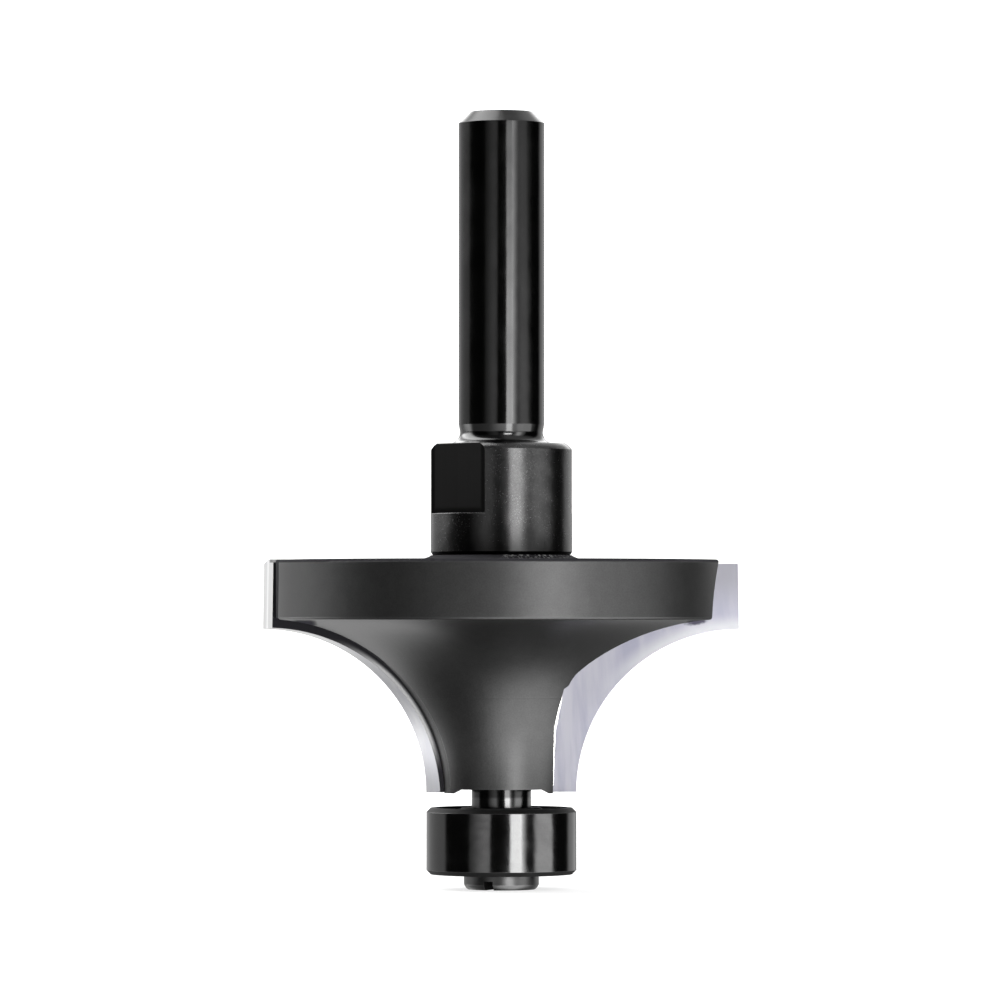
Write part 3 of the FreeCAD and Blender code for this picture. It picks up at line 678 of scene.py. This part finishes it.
def bead_rows(edge, turn):
    """Braze bead over a tip's inner edge, from the wing's face onto the rim of the rake face.

    The path runs along the tip's inner edge, and at each point the section lies square to it. The
    section's distance from the edge swells and shrinks along the path by a sum of two sines, as a
    hand-brazed bead does. It is thin along the foot, and tapers off at both ends as the square root of a
    half sine.
    """
    lengths = np.linalg.norm(np.diff(edge, axis=0), axis=1)
    path = np.concatenate([[0.0], np.cumsum(lengths)])
    along = np.linspace(0.0, path[-1], 240)
    x = np.interp(along, path, edge[:, 0])
    z = np.interp(along, path, edge[:, 1])
    slope_x, slope_z = np.gradient(x), np.gradient(z)
    size = np.hypot(slope_x, slope_z)
    inward = np.stack([-slope_z / size, slope_x / size], axis=1)
    lumps = 1.0 + 0.13 * np.sin(along / (0.8 * mm)) + 0.09 * np.sin(along / (0.31 * mm) + 1.3)
    taper = 0.3 + 0.7 * np.sqrt(np.sin(math.pi * along / along[-1]).clip(0.0))
    thin_foot = 0.5 + 0.5 * ((z - 11.5 * mm) / (3 * mm)).clip(0.0, 1.0)
    swell = lumps * taper * thin_foot
    side = swell[:, None] * bead_section[:, 0]
    rise = np.broadcast_to(bead_section[:, 1], side.shape)
    rows = np.stack([
        x[:, None] + inward[:, :1] * side,
        wing_y - rise,
        z[:, None] + inward[:, 1:] * side,
    ], axis=-1)
    return rows * np.array([turn, turn, 1.0])


braze = make_braze()
for wing, turn in (("right", 1.0), ("left", -1.0)):
    bead = solid_from_rows("braze_bead_" + wing, bead_rows(tip_inner_edge, turn), braze)
    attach(bead, "bit")


# Studio

def soft_panel(name, radiance, width, height, location, rotation):
    """Area light of a given radiance: its power is pi times the radiance and the area."""
    light = bpy.data.lights.new(name, "AREA")
    light.shape = "RECTANGLE"
    light.size, light.size_y = width, height
    light.energy = math.pi * radiance * width * height
    lamp = bpy.data.objects.new(name, light)
    lamp.location = location
    lamp.rotation_euler = rotation
    lamp.visible_camera = False
    bpy.context.scene.collection.objects.link(lamp)
    return lamp


def upright_panel(name, azimuth, half_width, z_low, z_high, radiance, distance=0.9):
    """Upright soft light round an azimuth seen from the bit. 0 is the viewer's side, + is right."""
    turn = math.radians(azimuth)
    width = 2 * distance * math.tan(math.radians(half_width))
    place = (distance * math.sin(turn), -distance * math.cos(turn), (z_low + z_high) / 2)
    return soft_panel(name, radiance, width, z_high - z_low, place, (math.pi / 2, 0, turn))


upright_panel("key_panel", azimuth=22.0, half_width=8.5, z_low=-0.5, z_high=0.14, radiance=10.0)
top_panel = soft_panel("top_panel", radiance=1.2, width=1.2, height=1.2, location=(0.0, 0.1, 1.3),
                       rotation=(0, 0, 0))
top_panel.visible_glossy = False


# The next five functions give parts of the surround by direction, seen from the bit. The azimuth is in
# degrees, 0 on the viewer's side and + to the right. The height is the sine of the angle over level.

def wall_light(tree, azimuth, height, off_level):
    """Grey walls at both sides. The left wall and the wall behind are brighter above and below level."""
    off_front = calc(tree, "ABSOLUTE", azimuth)
    left_wall = ramp(tree, azimuth, -92.0, -100.0, 0.0, 0.62)
    left_glow = product(tree, span(tree, azimuth, (-152.0, -128.0), (-102.0, -86.0)), off_level, 8.5)
    right_wall = product(tree, ramp(tree, azimuth, 118.0, 130.0),
                         ramp(tree, azimuth, 170.0, 148.0, 0.28, 0.85))
    back_wall = product(tree, ramp(tree, off_front, 143.0, 166.0), off_level,
                        ramp(tree, height, -0.05, 0.3, 0.25, 2.2))
    return total(tree, left_wall, left_glow, right_wall, back_wall)


def card_light(tree, azimuth, height, off_level):
    """Two pale cards in front, and a glow at the front right above and below level.

    The cards lean, and the left one has a dark gap just above level.
    """
    near_level = calc(tree, "MINIMUM", calc(tree, "MAXIMUM", height, -0.1), 0.1)
    leaning_left = calc(tree, "MULTIPLY_ADD", near_level, -60.0, azimuth)
    leaning_right = calc(tree, "MULTIPLY_ADD", near_level, 100.0, azimuth)
    from_gap = calc(tree, "ABSOLUTE", calc(tree, "SUBTRACT", height, 0.005))
    left_card = product(
        tree, ramp(tree, leaning_left, -50.0, -20.0, 0.3, 1.7),
        span(tree, leaning_left, (-50.0, -46.0), (-16.0, -13.5)),
        ramp(tree, from_gap, 0.018, 0.028, 0.05, 1.0),
        ramp(tree, calc(tree, "ABSOLUTE", height), 0.12, 0.085, 0.25, 1.0))
    right_card = product(
        tree, ramp(tree, height, -0.010, -0.026, 1.3, 3.6),
        span(tree, leaning_right, (46.0, 52.0), (79.0, 83.0)))
    right_glow = product(tree, span(tree, azimuth, (40.0, 50.0), (54.0, 66.0)), off_level, 4.4)
    return total(tree, left_card, right_card, right_glow)


def key_light_edge(tree, azimuth, height):
    """The key light's soft right edge, wider above level, and a small bright lamp above the key light."""
    edge = blend(tree, ramp(tree, height, 0.02, 0.045), ramp(tree, azimuth, 41.0, 27.0, 0.0, 8.0),
                 ramp(tree, azimuth, 49.0, 31.0, 0.0, 9.0))
    shoulder = product(tree, edge, ramp(tree, azimuth, 28.5, 31.0),
                       span(tree, height, (-0.22, -0.16), (0.14, 0.2)))
    crown = product(tree, span(tree, azimuth, (6.0, 10.0), (30.0, 34.0)),
                    span(tree, height, (0.38, 0.42), (0.52, 0.58)), 26.0)
    return total(tree, shoulder, crown)


def table_light(tree, azimuth, height):
    """Table under the bit, bright to the front right and to the rear left, dark just under the bit."""
    right = product(tree, span(tree, azimuth, (-38.0, 8.0), (85.0, 115.0)), 4.4)
    left = product(
        tree, ramp(tree, azimuth, -135.0, -150.0, 0.3, 1.35), ramp(tree, azimuth, -75.0, -95.0),
        ramp(tree, height, -0.8, -0.62), ramp(tree, height, -0.2, -0.5, 0.2, 1.0))
    back = ramp(tree, calc(tree, "ABSOLUTE", azimuth), 90.0, 130.0, 0.15, 0.25)
    return product(tree, total(tree, right, left, back), ramp(tree, height, -0.99, -0.95, 0.15, 1.0))


def faint_light(tree, azimuth, height, x):
    """A faint glow low on the left, and a ceiling that is bright to the right."""
    low_glow = product(tree, span(tree, height, (-0.65, -0.5), (-0.25, -0.12)),
                       span(tree, azimuth, (-120.0, -100.0), (-20.0, 0.0)), 0.4)
    ceiling = product(tree, ramp(tree, height, 0.5, 0.85),
                      calc(tree, "MULTIPLY_ADD", ramp(tree, x, -0.05, 0.2), 0.8, 0.15))
    return total(tree, low_glow, ceiling)


def make_surround():
    """World light by direction: walls and cards level with the bit, a table under it, a ceiling above."""
    world = bpy.data.worlds.new("studio_surround")
    world.use_nodes = True
    tree = world.node_tree
    x, y, height = split(tree, add_node(tree, "ShaderNodeTexCoord").outputs["Generated"])
    azimuth = product(tree, calc(tree, "ARCTAN2", x, product(tree, y, -1.0)), 180.0 / math.pi)
    off_level = ramp(tree, calc(tree, "ABSOLUTE", height), 0.14, 0.26)
    cards = total(tree, card_light(tree, azimuth, height, off_level), key_light_edge(tree, azimuth, height))
    level = total(tree, wall_light(tree, azimuth, height, off_level),
                  product(tree, cards, ramp(tree, height, 0.75, 0.6)))
    level = blend(tree, ramp(tree, height, -0.15, -0.45), level, table_light(tree, azimuth, height))
    level = total(tree, level, faint_light(tree, azimuth, height, x), 0.02)
    background = tree.nodes["Background"]
    background.inputs["Color"].default_value = (1.0, 1.0, 1.0, 1.0)
    tree.links.new(level, background.inputs["Strength"])
    return world


bpy.context.scene.world = make_surround()


def make_paper():
    """Pale paper of the sweep: it glows white, and its glow is lowered round the bit's foot as a painted
    contact shadow.
    """
    material, tree, shader, place = new_material("pale_paper")
    distance = add_node(tree, "ShaderNodeVectorMath", {0: place}, operation="LENGTH").outputs["Value"]
    # Painted shadow: the glow falls off towards the bit's foot
    glow = ramp(tree, distance, 0.02, 0.28, 0.74, 1.0)
    feed(tree, shader, Base_Color=grey(0.3), Roughness=0.9, Specular_IOR_Level=0.0,
         Emission_Color=add_node(tree, "ShaderNodeCombineColor", {0: glow, 1: glow, 2: glow}).outputs[0],
         Emission_Strength=1.0)
    return material


def make_sweep():
    """Floor just under the bit that curves up all round into a wall.

    The profile (flat, quarter circle, upright) is turned about Z.
    """
    flat_r, bend_r, wall_top, drop = 1.8, 0.8, 3.0, 0.02 * mm
    arc = np.linspace(0.0, math.pi / 2, 24)
    inner_r = [0.002, 0.05, 0.2, 0.6, 1.2]
    profile_r = np.concatenate([inner_r, flat_r + bend_r * np.sin(arc), [flat_r + bend_r]])
    profile_z = np.concatenate([np.zeros(len(inner_r)), bend_r - bend_r * np.cos(arc), [wall_top]]) - drop
    turn = np.linspace(0.0, 2 * math.pi, 96, endpoint=False)
    rows = np.stack([
        profile_r[:, None] * np.cos(turn),
        profile_r[:, None] * np.sin(turn),
        profile_z[:, None] * np.ones_like(turn),
    ], axis=-1)
    inner_faces = [face[::-1] for face in quad_strips(len(profile_r), len(turn))]
    middle = list(range(len(turn)))
    sweep = new_piece("studio_sweep", rows, inner_faces + [middle], make_paper())
    sweep.visible_glossy = False
    sweep.visible_diffuse = False
    sweep.visible_shadow = False
    return sweep


make_sweep()

# Camera
camera_data = bpy.data.cameras.new("camera")
camera_data.lens = 231.55
camera_data.sensor_width = 36.0
camera_data.clip_start = 0.01
camera = bpy.data.objects.new("camera", camera_data)
camera.location = (-0.13 * mm, -0.6, 25.8 * mm)
camera.rotation_euler = (math.radians(91.0), 0.0, 0.0)
bpy.context.scene.collection.objects.link(camera)
bpy.context.scene.camera = camera
bpy.context.scene.view_settings.view_transform = "Standard"
